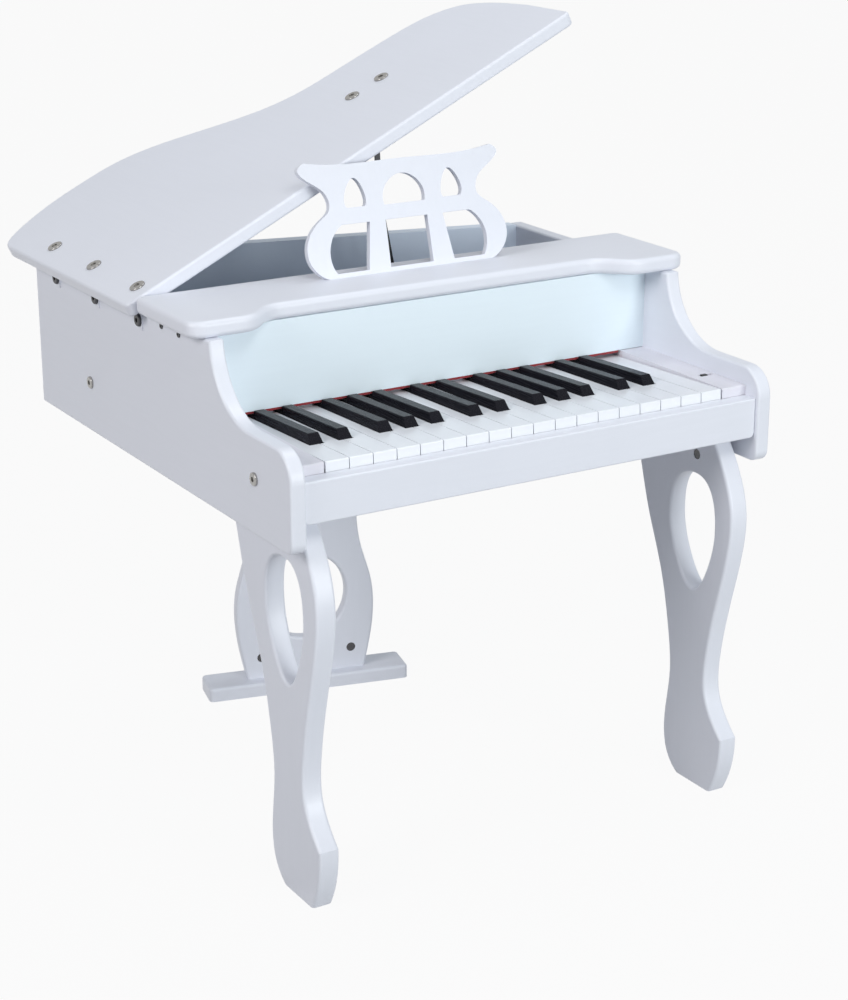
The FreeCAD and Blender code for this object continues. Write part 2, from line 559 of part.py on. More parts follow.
contact_xs = []
for i in range(WHITE_COUNT):
    x0 = -KEYS_W / 2 + i * PITCH + KEY_GAP / 2
    x1 = x0 + PITCH - KEY_GAP
    before = black_centre(i - 1) if i else None
    after = black_centre(i)
    clear = BLACK_W / 2 + KEY_GAP
    t0 = before + clear if before is not None else x0
    t1 = after - clear if after is not None else x1
    h0 = t0 if before is not None else x0 + (SEAM_NOTCH if i else END_NOTCH)
    h1 = t1 if after is not None else x1 - (SEAM_NOTCH if i < WHITE_COUNT - 1 else END_NOTCH)
    if i and before is None:
        brackets.append(x0 - KEY_GAP / 2)
    head = side_profile(x0, x1, [
        (KEY_FRONT, KEY_LEVEL), (HEAD_END, KEY_LEVEL), (HEAD_END, KEY_LEVEL - WHITE_PLATE),
        (KEY_FRONT + LIP_T, KEY_LEVEL - WHITE_PLATE), (KEY_FRONT + LIP_T, KEY_LEVEL - LIP_H),
        (KEY_FRONT, KEY_LEVEL - LIP_H)])
    front = [e for e in head.Edges if e.BoundBox.YMax < KEY_FRONT + 1e-3
             and e.BoundBox.ZMin > KEY_LEVEL - 1e-3]
    head = head.makeFillet(1.2, front)
    tail = box(t0, t1, HEAD_END - 2, PIVOT_Y - HUB_R - 3, KEY_LEVEL - WHITE_PLATE, KEY_LEVEL)
    rear = box(h0, h1, PIVOT_Y - HUB_R - 6, PIVOT_Y, KEY_LEVEL - TAIL_T, KEY_LEVEL - 1)
    plunger = box((t0 + t1) / 2 - 3, (t0 + t1) / 2 + 3, CIRCUIT_Y - 4, CIRCUIT_Y + 4,
                  PLUNGER_BOTTOM, KEY_LEVEL - 1)
    key = head.fuse([tail, rear, hub(h0, h1), plunger]).cut(pivot_bore(h0, h1)).removeSplitter()
    contact_xs.append((t0 + t1) / 2)
    save("white_key_%02d_%s" % (i + 1, NOTES[i % 7]), let_up(key))

k = 0
for i in range(WHITE_COUNT):
    centre = black_centre(i)
    if centre is None:
        continue
    k += 1
    w, t = BLACK_W / 2, BLACK_TOP_W / 2
    y0, y1 = HEAD_END + KEY_GAP, FALL_FRONT - 1.4
    z0, z1 = KEY_LEVEL - 1.0, KEY_LEVEL + BLACK_H
    foot = Part.makePolygon([V(centre - w, y0, z0), V(centre + w, y0, z0),
                             V(centre + w, y1, z0), V(centre - w, y1, z0), V(centre - w, y0, z0)])
    z2 = z1 - BLACK_TAPER
    crest = Part.makePolygon([V(centre - t, y0 + BLACK_SLOPE, z1), V(centre + t, y0 + BLACK_SLOPE, z1),
                              V(centre + t, y1, z2), V(centre - t, y1, z2),
                              V(centre - t, y0 + BLACK_SLOPE, z1)])
    cap = Part.makeLoft([foot, crest], True, True)
    cap = cap.makeFillet(0.9, [e for e in cap.Edges
                               if e.BoundBox.ZMin > z2 - 1e-3 and e.BoundBox.YMin < y1 - 1])
    neck = box(centre - w, centre + w, y1 - 2, FALL_FRONT + FALL_T + 3, z0, KEY_LEVEL + NECK_H)
    arm = box(centre - w, centre + w, y0 + 1, PIVOT_Y - HUB_R, KEY_LEVEL - 7, z0)
    rear = box(centre - w, centre + w, PIVOT_Y - HUB_R - 6, PIVOT_Y, KEY_LEVEL - TAIL_T, KEY_LEVEL - 1)
    plunger = box(centre - 3, centre + 3, CIRCUIT_Y - 4, CIRCUIT_Y + 4, PLUNGER_BOTTOM, KEY_LEVEL - 2)
    key = cap.fuse([neck, arm, rear, hub(centre - w, centre + w), plunger])
    key = key.cut(pivot_bore(centre - w, centre + w)).removeSplitter()
    contact_xs.append(centre)
    save("black_key_%02d_%s_sharp" % (k, NOTES[i % 7]), let_up(key))

# ---- key frame with its pivot rod, circuit board, rubber contacts ----------
FRAME_END = TAIL_END + 6
base = box(-KEYS_W / 2, KEYS_W / 2, KEY_FRONT, FRAME_END, FLOOR_TOP, FLOOR_TOP + FRAME_T)
stop = box(-KEYS_W / 2, KEYS_W / 2, KEY_FRONT, KEY_FRONT + 8, FLOOR_TOP + FRAME_T - 1,
           FLOOR_TOP + FRAME_T + 1.2)
frame_solid = base.fuse(stop)
for x in brackets:
    x = min(max(x, -KEYS_W / 2 + BRACKET_T / 2), KEYS_W / 2 - BRACKET_T / 2)
    ear = side_profile(x - BRACKET_T / 2, x + BRACKET_T / 2, [
        (PIVOT_Y - HUB_R, FLOOR_TOP), (PIVOT_Y - HUB_R, PIVOT_Z + 5), (TAIL_END, PIVOT_Z + 5),
        (TAIL_END + 4, FLOOR_TOP)])
    frame_solid = frame_solid.fuse(ear)
frame_solid = frame_solid.cut(rod(PIVOT_R + FIT, V(-KEYS_W / 2, PIVOT_Y, PIVOT_Z), V(1, 0, 0), KEYS_W))
pivot_rod = rod(PIVOT_R, V(-KEYS_W / 2 + 0.2, PIVOT_Y, PIVOT_Z), V(1, 0, 0), KEYS_W - 0.4)
save("key_frame", frame_solid.removeSplitter(), pivot_rod)

z = FLOOR_TOP + FRAME_T
board_half = KEYS_W / 2 - 4
save("circuit_board", box(-board_half, board_half, CIRCUIT_Y - CIRCUIT_W / 2,
                          CIRCUIT_Y + CIRCUIT_W / 2, z, z + CIRCUIT_T))
z += CIRCUIT_T
strip = box(-board_half + 2, board_half - 2, CIRCUIT_Y - 7, CIRCUIT_Y + 7, z, z + 1.4)
for x in contact_xs:
    strip = strip.fuse(Part.makeCone(DOME_R, DOME_R * 0.6, DOME_H - 1.2, V(x, CIRCUIT_Y, z + 1.2)))
save("rubber_contacts", strip.removeSplitter())

# ---- fallboard and the felt strip under it ---------------------------------
save("fallboard", box(-INNER, INNER, FALL_FRONT, FALL_FRONT + FALL_T, FALL_BOTTOM, PANEL_TOP))
save("key_felt", box(-KEYS_W / 2, KEYS_W / 2, FALL_FRONT, FALL_FRONT + FALL_T,
                     FALL_BOTTOM - FELT_T, FALL_BOTTOM))

# ---- music shelf ----------------------------------------------------------
def shelf_outline(z):
    edge = HALF + SHELF_OVERHANG
    wing = edge - SHELF_WING_W
    step = wing - SHELF_OGEE_W
    r, q = SHELF_CORNER, math.sqrt(0.5)
    mid = ((wing + step) / 2, (SHELF_WING_FRONT + SHELF_FRONT) / 2)
    front_c = (edge - r, SHELF_WING_FRONT + r)
    back_c = (edge - r / 2, SHELF_BACK - r / 2)
    out = []
    for s in (1, -1):
        def p(x, y):
            return V(s * x, y, z)
        half = [
            line(p(0, SHELF_FRONT), p(step, SHELF_FRONT)),
            spline([p(step, SHELF_FRONT), p(*mid), p(wing, SHELF_WING_FRONT)],
                   V(s, 0, 0) * SHELF_OGEE_W, V(s, 0, 0) * SHELF_OGEE_W),
            line(p(wing, SHELF_WING_FRONT), p(front_c[0], SHELF_WING_FRONT)),
            arc(p(front_c[0], SHELF_WING_FRONT), p(front_c[0] + r * q, front_c[1] - r * q),
                p(edge, front_c[1])),
            line(p(edge, front_c[1]), p(edge, back_c[1])),
            arc(p(edge, back_c[1]), p(back_c[0] + r / 2 * q, back_c[1] + r / 2 * q),
                p(back_c[0], SHELF_BACK)),
            line(p(back_c[0], SHELF_BACK), p(0, SHELF_BACK)),
        ]
        out += half if s > 0 else half[::-1]
    return out


shelf = round_faces(plate(shelf_outline(PANEL_TOP), V(0, 0, SHELF_T)), SHELF_ROUND, "z")
lean = math.radians(STAND_LEAN)
along = V(0, math.sin(lean), math.cos(lean))      # up the stand's face
thick = V(0, math.cos(lean), -math.sin(lean))     # through its thickness
peg_start = V(STAND_X, STAND_Y, SHELF_TOP) + thick * (STAND_T / 2)
for s in (-1, 1):
    start = peg_start + V(s * PEG_X, 0, 0) + along * 4
    shelf = shelf.cut(rod(PEG_R + PEG_CLEAR, start, along * -1, PEG_L + 5))
battens = []
for s in (-1, 1):
    x0, x1 = sorted((s * INNER, s * (INNER - BATTEN)))
    b = box(x0, x1, BATTEN_Y, BATTEN_Y + BATTEN_L, PANEL_TOP - BATTEN, PANEL_TOP)
    for y in SHELF_SCREW_YS:
        b = b.cut(screw_bore(s, y, SHELF_SCREW_Z, SIDE_SCREW_R, True))
    battens.append(b)
save("music_shelf", shelf, *battens)


# ---- music stand ----------------------------------------------------------
def stand_points(points, side=1):
    """Points of the stand's front face; side -1 gives the left half."""
    return [V(STAND_X + side * x, STAND_Y, SHELF_TOP) + along * n for x, n in points]


def closed_line(points):
    return [line(points[j], points[(j + 1) % len(points)]) for j in range(len(points))]


def stand_half(side):
    """Outline from the middle of the top round to the foot."""
    top = stand_points([(0, STAND_H), (STAND_CREST, STAND_H), STAND_TIP], side)
    out = V(side, 0, 0)
    return [spline(top, out * 60, (out + along * 0.2) * 40),
            spline(stand_points([STAND_TIP, *STAND_EDGE, (STAND_FOOT, 0)], side))]


def window_edges(side):
    w = stand_points(STAND_WINDOW, side)
    return [line(w[0], w[1]), spline(w[1:5]), line(w[4], w[5]), line(w[5], w[0])]


def leaf_edges(side):
    w = stand_points(STAND_LEAF, side)
    return [spline(w), line(w[-1], w[0])]


arch_right, arch_left = stand_points(STAND_ARCH), stand_points(STAND_ARCH, -1)
arch = [spline(arch_left + arch_right[1::-1]), line(arch_right[0], arch_left[0])]
middle = closed_line(stand_points(STAND_MIDDLE, -1) + stand_points(STAND_MIDDLE)[::-1])
foot_line = line(*(stand_points([(STAND_FOOT, 0)]) + stand_points([(STAND_FOOT, 0)], -1)))
stand = plate(stand_half(1) + [foot_line] + stand_half(-1)[::-1], thick * STAND_T,
              leaf_edges(1), leaf_edges(-1), arch, middle, window_edges(1), window_edges(-1))
stand = stand.cut(box(-HALF, HALF, STAND_Y - 20, STAND_Y + 40, SHELF_TOP - 20, SHELF_TOP + 0.05))
for s in (-1, 1):
    start = peg_start + V(s * PEG_X, 0, 0) + along * 3
    stand = stand.fuse(rod(PEG_R, start, along * -1, PEG_L + 3))
save("music_stand", stand.removeSplitter())

# ---- lid: straight at the hinges and in front, S-shaped behind --------------
def lid_outline(z):
    r, q = LID_CORNER, math.sqrt(0.5)
    def p(x, y):
        return V(x, y, z)
    c1 = (LID_RIGHT - r, LID_FRONT + r)
    c2 = (LID_LEFT + r, LID_FRONT + r)
    right_end = p(LID_RIGHT, LID_DEPTH - LID_RIGHT_END)
    left_end = p(LID_LEFT, LID_DEPTH - LID_LEFT_END)
    return [
        line(p(c2[0], LID_FRONT), p(c1[0], LID_FRONT)),
        arc(p(c1[0], LID_FRONT), p(c1[0] + r * q, c1[1] - r * q), p(LID_RIGHT, c1[1])),
        line(p(LID_RIGHT, c1[1]), right_end),
        spline([right_end] + [p(x, LID_DEPTH - d) for x, d in LID_CURVE] + [left_end]),
        line(left_end, p(LID_LEFT, c2[1])),
        arc(p(LID_LEFT, c2[1]), p(c2[0] - r * q, c2[1] - r * q), p(c2[0], LID_FRONT)),
    ]


lid = round_faces(plate(lid_outline(LID_BOTTOM), V(0, 0, LID_T)), LID_ROUND, "z")
LID_TOP = LID_BOTTOM + LID_T
bolt_places = [(HINGE_X + LID_BOLT_S, y, LEAF_T) for y in HINGE_YS]
bolt_places += [(STAY_LID_X + s * STAY_BOLT_SPAN / 2, STAY_Y, LUG_T + 1.5) for s in (-1, 1)]
lid_bolts = []
for x, y, grip in bolt_places:
    lid = lid.cut(rod(LID_BOLT_R + FIT, V(x, y, LID_BOTTOM - 1), V(0, 0, 1), LID_T + 2))
    lid_bolts.append(opened(bolt(V(x, y, LID_TOP), V(0, 0, -1), LID_T + grip,
                                 LID_BOLT_R, LID_HEAD_R, LID_HEAD_H)))
save("lid", opened(lid))
save("lid_bolts", *lid_bolts)

# ---- lid hinges -----------------------------------------------------------
case_leaves, lid_leaves, pins = [], [], []
third = HINGE_W / 3
for y in HINGE_YS:
    y0, y1 = y - HINGE_W / 2, y + HINGE_W / 2
    axis = V(HINGE_X, 0, HINGE_Z)
    bore = rod(HINGE_PIN_R + FIT, V(HINGE_X, y0 - 1, HINGE_Z), V(0, 1, 0), HINGE_W + 2)
    leaf_plate = box(-HALF - LEAF_T, -HALF, y0, y1, HINGE_Z - HINGE_DROP, HINGE_Z)
    room = rod(KNUCKLE_R + 0.3, V(HINGE_X, y0 + third - 0.3, HINGE_Z), V(0, 1, 0), third + 0.6)
    leaf_plate = leaf_plate.cut(room)
    for a in (y0, y0 + 2 * third):
        leaf_plate = leaf_plate.fuse(rod(KNUCKLE_R, V(HINGE_X, a, HINGE_Z), V(0, 1, 0), third))
    hole = rod(SIDE_SCREW_R + FIT, V(-HALF - 5, y + HINGE_SCREW_SHIFT, SIDE_SCREW_Z), V(1, 0, 0), 8)
    case_leaves.append(leaf_plate.cut(bore).cut(hole).removeSplitter())
    flap = box(HINGE_X + KNUCKLE_R * 0.2, HINGE_X + HINGE_REACH, y0, y1, LID_BOTTOM - LEAF_T, LID_BOTTOM)
    for a in (y0 - 0.3, y0 + 2 * third - 0.3):
        flap = flap.cut(rod(KNUCKLE_R + 0.3, V(HINGE_X, a, HINGE_Z), V(0, 1, 0), third + 0.6))
    flap = flap.fuse(rod(KNUCKLE_R, V(HINGE_X, y0 + third + 0.3, HINGE_Z), V(0, 1, 0), third - 0.6))
    hole = rod(LID_BOLT_R + FIT, V(HINGE_X + LID_BOLT_S, y, LID_BOTTOM - 5), V(0, 0, 1), 8)
    lid_leaves.append(opened(flap.cut(bore).cut(hole).removeSplitter()))
    pins.append(rod(HINGE_PIN_R, V(HINGE_X, y0, HINGE_Z), V(0, 1, 0), HINGE_W))
save("hinge_case_leaves", *(case_leaves + pins))
save("hinge_lid_leaves", *lid_leaves)

# ---- folding lid stay: two links between the lid and the bottom board -------
turn = math.radians(LID_OPEN)
arm_x, arm_z = STAY_LID_X - HINGE_X, LID_BOTTOM - STAY_DROP - HINGE_Z
UPPER = V(HINGE_X + arm_x * math.cos(turn) - arm_z * math.sin(turn), STAY_Y,
          HINGE_Z + arm_x * math.sin(turn) + arm_z * math.cos(turn))
UPPER_SHUT = V(STAY_LID_X, STAY_Y, LID_BOTTOM - STAY_DROP)
FOOT = V(STAY_FOOT_X, STAY_Y, FLOOR_TOP + STAY_FOOT_H)


def elbow_between(upper):
    """Elbow pin, on the hinge side of the line from the foot to the upper pivot."""
    d = upper - FOOT
    span = d.Length
    c = (LOWER_LINK ** 2 + span ** 2 - UPPER_LINK ** 2) / (2 * LOWER_LINK * span)
    bend = math.acos(max(-1.0, min(1.0, c)))
    a = math.atan2(d.z, d.x) + bend
    return FOOT + V(math.cos(a), 0, math.sin(a)) * LOWER_LINK


ELBOW = elbow_between(UPPER)
ELBOW_SHUT = elbow_between(UPPER_SHUT)


def link(a, b, y, bore_a, bore_b):
    """Flat link with round ends from a to b, its front face at y."""
    d = (b - a).normalize()
    side = V(-d.z, 0, d.x) * (LINK_W / 2)
    def at(p):
        return V(p.x, y, p.z)
    strap = Part.Face(Part.makePolygon([at(a + side), at(b + side), at(b - side), at(a - side),
                                        at(a + side)])).extrude(V(0, LINK_T, 0))
    for p in (a, b):
        strap = strap.fuse(rod(LINK_W / 2, at(p), V(0, 1, 0), LINK_T))
    for p, r in ((a, bore_a), (b, bore_b)):
        if r:
            strap = strap.cut(rod(r, at(p) - V(0, 1, 0), V(0, 1, 0), LINK_T + 2))
    return strap.removeSplitter()


front_y = STAY_Y - LINK_GAP / 2 - LINK_T           # lower link, nearer the keys
back_y0 = STAY_Y + LINK_GAP / 2                    # upper link
upper_link = link(UPPER, ELBOW, back_y0, STAY_PIN_R + FIT, 0)
upper_link = upper_link.fuse(rod(STAY_PIN_R * 1.7, V(ELBOW.x, back_y0 + LINK_T, ELBOW.z),
                                 V(0, 1, 0), 1.2)).removeSplitter()
lower_link = link(FOOT, ELBOW, front_y, STAY_PIN_R + FIT, 0)
lower_link = lower_link.fuse(rod(STAY_PIN_R * 1.7, V(ELBOW.x, front_y - 1.2, ELBOW.z),
                                 V(0, 1, 0), 1.2)).removeSplitter()
save("stay_upper_link", upper_link)
save("stay_lower_link", lower_link)

lug_y = back_y0 + LINK_T + 0.3
bracket = box(STAY_LID_X - STAY_BOLT_SPAN / 2 - 6, STAY_LID_X + STAY_BOLT_SPAN / 2 + 6,
              STAY_Y - 6, lug_y + LUG_T, LID_BOTTOM - LUG_T, LID_BOTTOM)
lug = box(STAY_LID_X - LUG_W / 2, STAY_LID_X + LUG_W / 2, lug_y, lug_y + LUG_T,
          UPPER_SHUT.z - LINK_W / 2, LID_BOTTOM)
pin = rod(STAY_PIN_R, V(STAY_LID_X, back_y0 - 0.05, UPPER_SHUT.z), V(0, 1, 0), lug_y - back_y0 + 1)
bracket = bracket.fuse([lug, pin])
for s in (-1, 1):
    bracket = bracket.cut(rod(LID_BOLT_R + FIT, V(STAY_LID_X + s * STAY_BOLT_SPAN / 2, STAY_Y,
                                                  LID_BOTTOM - 5), V(0, 0, 1), 8))
save("stay_lid_bracket", opened(bracket.removeSplitter()))

foot_lug_y = front_y - 0.3
foot = box(STAY_FOOT_X - LUG_W, STAY_FOOT_X + LUG_W, foot_lug_y - 16, foot_lug_y,
           FLOOR_TOP, FLOOR_TOP + LUG_T)
foot = foot.fuse([box(STAY_FOOT_X - LUG_W / 2, STAY_FOOT_X + LUG_W / 2, foot_lug_y - LUG_T,
                      foot_lug_y, FLOOR_TOP, FOOT.z + LINK_W / 2),
                  rod(STAY_PIN_R, V(FOOT.x, foot_lug_y - 1, FOOT.z), V(0, 1, 0),
                      front_y + LINK_T + 0.05 - foot_lug_y + 1)])
save("stay_foot_bracket", foot.removeSplitter())

# ---- front legs: flat boards with a cabriole outline and a drop-shaped hole ---
def leg_point(y, z):
    return V(-LEG_OUTER, y, z)


def leg_curve(points, closed=False):
    return spline([leg_point(y, z) for y, z in points], closed=closed)


leg_hole = leg_curve(LEG_HOLE, True)
leg_outline = [
    leg_curve([(LEG_TOP_FRONT, FLOOR_BOTTOM), *LEG_FRONT_EDGE, LEG_INSTEP]),
    leg_curve([LEG_INSTEP, *LEG_TOE]),
    line(leg_point(*LEG_TOE[-1]), leg_point(*LEG_BACK_EDGE[0])),
    leg_curve([*LEG_BACK_EDGE, (LEG_TOP_BACK, FLOOR_BOTTOM)]),
    line(leg_point(LEG_TOP_BACK, FLOOR_BOTTOM), leg_point(LEG_TOP_FRONT, FLOOR_BOTTOM))]
leg = plate(leg_outline, V(LEG_T, 0, 0), [leg_hole])
leg = round_faces(leg, LEG_ROUND, "x", lambda e: e.BoundBox.ZMin < FLOOR_BOTTOM - 1
                  and e.BoundBox.ZMax > 1)
for tool in bores["leg"]:
    leg = leg.cut(tool)
save("front_leg_left", leg)
save("front_leg_right", mirrored(leg))

# ---- rear leg on its foot bar ----------------------------------------------
def rear_point(x, z):
    return V(x, REAR_FRONT, z)


rear_side = [(REAR_TOP_HALF, FLOOR_BOTTOM), *REAR_EDGE, (REAR_FOOT_HALF, BOARD)]
rear_outline = [spline([rear_point(x, z) for x, z in rear_side]),
                line(rear_point(REAR_FOOT_HALF, BOARD), rear_point(-REAR_FOOT_HALF, BOARD)),
                spline([rear_point(-x, z) for x, z in rear_side]),
                line(rear_point(REAR_TOP_HALF, FLOOR_BOTTOM), rear_point(-REAR_TOP_HALF, FLOOR_BOTTOM))]
REAR_HOLE = Part.Ellipse(rear_point(0, REAR_HOLE_Z + REAR_HOLE_H / 2),
                         rear_point(REAR_HOLE_W / 2, REAR_HOLE_Z), rear_point(0, REAR_HOLE_Z))
rear_leg = Part.Face(Part.Wire(Part.__sortEdges__(rear_outline))).extrude(V(0, BOARD, 0))
rear_leg = rear_leg.cut(Part.Face(Part.Wire([REAR_HOLE.toShape()])).extrude(V(0, BOARD, 0)))
rear_leg = round_faces(rear_leg, LEG_ROUND, "y", lambda e: e.BoundBox.ZMin < FLOOR_BOTTOM - 1
                       and e.BoundBox.ZMax > BOARD + 1)
for tool in bores["rear_leg"]:
    rear_leg = rear_leg.cut(tool)
save("rear_leg", slanted(rear_leg))

bar = box(-FOOT_BAR_L / 2, FOOT_BAR_L / 2, REAR_LEG_Y - FOOT_BAR_W / 2,
          REAR_LEG_Y + FOOT_BAR_W / 2, 0, BOARD)
bar = bar.makeFillet(FOOT_BAR_CORNER, [e for e in bar.Edges if abs(e.BoundBox.ZLength - BOARD) < 1e-4])
bar = round_faces(bar, LEG_ROUND, "z", lambda e: e.BoundBox.ZMin > BOARD - 1e-3)
for tool in bores["bar"]:
    bar = bar.cut(tool)
save("rear_foot_bar", slanted(bar))

# ---- speaker over the grille, battery tray with its cells -------------------
def turned(points):
    return Part.Face(Part.makePolygon([V(SPEAKER_X + r, SPEAKER_Y, FLOOR_TOP + h)
                                       for r, h in points + points[:1]])
                     ).revolve(V(SPEAKER_X, SPEAKER_Y, 0), V(0, 0, 1), 360)


r, h = SPEAKER_R, SPEAKER_H
save("speaker", turned([(r * 0.8, 0), (r, 0), (r, 3), (r * 0.86, 3), (r * 0.5, h * 0.45),
                        (r * 0.5, h), (0, h), (0, h * 0.35), (r * 0.45, h * 0.3)]))

tray_w, tray_l = CELL_COUNT * 2 * CELL_R + 2 * TRAY_T + 2, CELL_L + 2 * TRAY_T + 2
tray = box(BATTERY_X - tray_w / 2, BATTERY_X + tray_w / 2, BATTERY_Y - tray_l / 2,
           BATTERY_Y + tray_l / 2, FLOOR_TOP, FLOOR_TOP + CELL_R + TRAY_T)
tray = tray.cut(box(BATTERY_X - tray_w / 2 + TRAY_T, BATTERY_X + tray_w / 2 - TRAY_T,
                    BATTERY_Y - tray_l / 2 + TRAY_T, BATTERY_Y + tray_l / 2 - TRAY_T,
                    FLOOR_TOP + TRAY_T, FLOOR_TOP + CELL_R + 2 * TRAY_T))
cells = [rod(CELL_R - 0.1, V(BATTERY_X + (j - (CELL_COUNT - 1) / 2) * 2 * CELL_R,
                             BATTERY_Y - CELL_L / 2, FLOOR_TOP + TRAY_T + CELL_R), V(0, 1, 0), CELL_L)
         for j in range(CELL_COUNT)]
save("battery_tray", tray, *cells)
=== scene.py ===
# %% [markdown]
# # A child's grand piano, dressed
# The boards, keys, legs and hinges come from the CAD model, and stay where they are.
# This lesson gives them their finishes, and makes the few pieces that are softer or
# finer than a CAD solid: the felt under the fallboard, the loudspeaker, the cells and
# what is soldered to the contact board.

# %% Load the piano's frame
from math import pi, radians, sin

import bmesh
import bpy
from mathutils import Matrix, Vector


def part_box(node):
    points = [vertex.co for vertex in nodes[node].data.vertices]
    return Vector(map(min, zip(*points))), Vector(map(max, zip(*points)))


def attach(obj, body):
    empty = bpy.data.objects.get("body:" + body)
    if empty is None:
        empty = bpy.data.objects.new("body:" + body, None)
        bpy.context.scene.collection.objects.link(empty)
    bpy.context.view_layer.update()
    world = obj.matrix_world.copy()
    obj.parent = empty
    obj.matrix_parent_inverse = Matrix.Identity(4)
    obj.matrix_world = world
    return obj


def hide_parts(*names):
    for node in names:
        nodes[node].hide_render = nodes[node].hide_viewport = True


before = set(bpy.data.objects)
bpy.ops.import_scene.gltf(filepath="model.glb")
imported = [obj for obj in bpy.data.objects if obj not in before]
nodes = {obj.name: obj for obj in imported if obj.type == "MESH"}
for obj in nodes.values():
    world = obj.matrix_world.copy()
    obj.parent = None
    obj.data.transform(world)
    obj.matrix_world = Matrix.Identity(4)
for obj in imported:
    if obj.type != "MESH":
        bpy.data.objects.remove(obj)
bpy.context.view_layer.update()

# %% [markdown]
# ## The camera
# A product picture of a piano is taken from the player's left, a little above the lid's
# hinge, so that the open lid, the keys and one long side all show. A longer lens than
# the eye's keeps the legs from splaying.

# %% Place the camera
camera_data = bpy.data.cameras.new("piano_camera")
camera_data.lens = 79.53
camera_data.sensor_width = 36.0
camera = bpy.data.objects.new("piano_camera", camera_data)
camera.location = (-1.0531, -1.8264, 0.9851)
camera.rotation_euler = (radians(71.0), 0.0, radians(-31.3))
bpy.context.scene.collection.objects.link(camera)
bpy.context.scene.camera = camera
bpy.context.scene.view_settings.view_transform = "Standard"

# %% [markdown]
# ## A class for shader sums
# Blender's shaders are graphs. Wiring each Math node by hand hides the sum that it makes,
# so a small class wraps a socket and lets Python's own operators add the nodes. One method,
# node(), makes every other kind of node: its settings first, then its inputs.

# %% Wrap a socket
class Value:
    """A socket in a material, with arithmetic."""

    def __init__(self, finish, socket):
        self.finish, self.socket = finish, socket

    def math(self, operation, other):
        return self.finish.node("Math", {"operation": operation}, {0: self, 1: other})

    def __add__(self, other):
        return self.math("ADD", other)

    def __mul__(self, other):
        return self.math("MULTIPLY", other)

    def __gt__(self, other):
        return self.math("GREATER_THAN", other)

    __radd__, __rmul__ = __add__, __mul__


class Finish:
    """A material for one of the piano's surfaces."""

    def __init__(self, name):
        self.material = bpy.data.materials.new(name)
        self.material.use_nodes = True
        self.tree = self.material.node_tree
        self.shader = self.tree.nodes["Principled BSDF"]

    def node(self, kind, settings=None, inputs=None, out=0):
        made = self.tree.nodes.new("ShaderNode" + kind)
        for key, value in (settings or {}).items():
            setattr(made, key, value)
        for key, value in (inputs or {}).items():
            self.feed(made.inputs[key], value)
        return Value(self, made.outputs[out])

    def feed(self, socket, value):
        if isinstance(value, Value):
            self.tree.links.new(value.socket, socket)
        else:
            socket.default_value = value

    def set(self, **inputs):
        for key, value in inputs.items():
            self.feed(self.shader.inputs[key.replace("_", " ")], value)

    def place(self, stretch=(1, 1, 1)):
        """Object coordinates, stretched."""
        where = self.node("TexCoord", out="Object")
        return self.node("Mapping", inputs={"Vector": where, "Scale": stretch})

    def noise(self, scale, detail=2.0, stretch=(1, 1, 1), roughness=0.5):
        return self.node("TexNoise", inputs={"Vector": self.place(stretch), "Scale": scale,
                                             "Detail": detail, "Roughness": roughness})

    def blend(self, amount, low, high):
        """A colour between two colours."""
        return self.node("Mix", {"data_type": "RGBA"}, {0: amount, 6: low, 7: high}, out=2)

    def bump(self, height, depth):
        self.set(Normal=self.node("Bump", inputs={"Height": height, "Distance": depth,
                                                  "Strength": 1.0}))
        return self


def shade(colour, factor):
    return tuple(min(1.0, c * factor) for c in colour[:3]) + (1.0,)


# %% [markdown]
# ## White paint on board
# The case is fibreboard with a sprayed white lacquer. Such paint is satin, not glossy: its
# highlights are wide, its surface has the faint pebble of spray, and the board's sanding
# shows under it as long, very shallow streaks. The white leans towards blue. Two scales of
# noise carry the colour, so that a big flat board doesn't look like paper. The fallboard
# and the back get a brighter, bluer white: painted light, for the front light on the
# fallboard and the light inside the case. The blocks beside the keys are duller.

# %% Paint for the boards
def painted_board(name, colour, along="Y", gloss=0.36):
    """Satin paint with sanding streaks that run along one axis."""
    paint = Finish(name)
    stretch = {"X": (0.06, 1, 1), "Y": (1, 0.06, 1), "Z": (1, 1, 0.06)}[along]
    cloud = paint.noise(7.0, 3.0)
    streak = paint.noise(260.0, 2.0, stretch)
    pebble = paint.noise(700.0, 2.0)
    tint = cloud * 0.6 + streak * 0.4
    paint.set(Base_Color=paint.blend(tint, shade(colour, 0.965), shade(colour, 1.03)),
              Roughness=gloss + cloud * 0.08 + pebble * 0.04)
    paint.shader.inputs["Coat Weight"].default_value = 0.15
    paint.shader.inputs["Coat Roughness"].default_value = 0.3
    return paint.bump(streak * 0.6 + pebble * 0.7, 0.00005)


WHITE = (0.80, 0.82, 0.885)
long_paint = painted_board("paint_long_boards", WHITE, "Y")
cross_paint = painted_board("paint_cross_boards", WHITE, "X")
upright_paint = painted_board("paint_upright_boards", WHITE, "Z")
cheek_paint = painted_board("paint_cheek_blocks", (0.76, 0.75, 0.81), "Y", gloss=0.55)
# The fallboard's and the back's brighter, bluer white is painted light: the front light on the
# fallboard and the light inside the case.
fallboard_painted_light = painted_board("paint_fallboard_painted_light", (0.82, 0.92, 0.98), "X")
back_painted_light = painted_board("paint_back_painted_light", (0.77, 0.86, 0.98), "X")

# %% [markdown]
# ## Keys
# White keys are moulded plastic: brighter and smoother than the paint, with a soft shine.
# Black keys have the fine lines of the mould along them, and throw back little of the
# white board that stands above them.

# %% Plastics of the keys
ivory = Finish("white_key_plastic")
ivory_cloud = ivory.noise(30.0, 3.0)
ivory.set(Base_Color=ivory.blend(ivory_cloud, (0.86, 0.88, 0.92, 1), (0.90, 0.915, 0.95, 1)),
          Roughness=0.2 + ivory_cloud * 0.08)
ivory.bump(ivory.noise(220.0, 2.0, (1, 0.2, 1)), 0.00003)

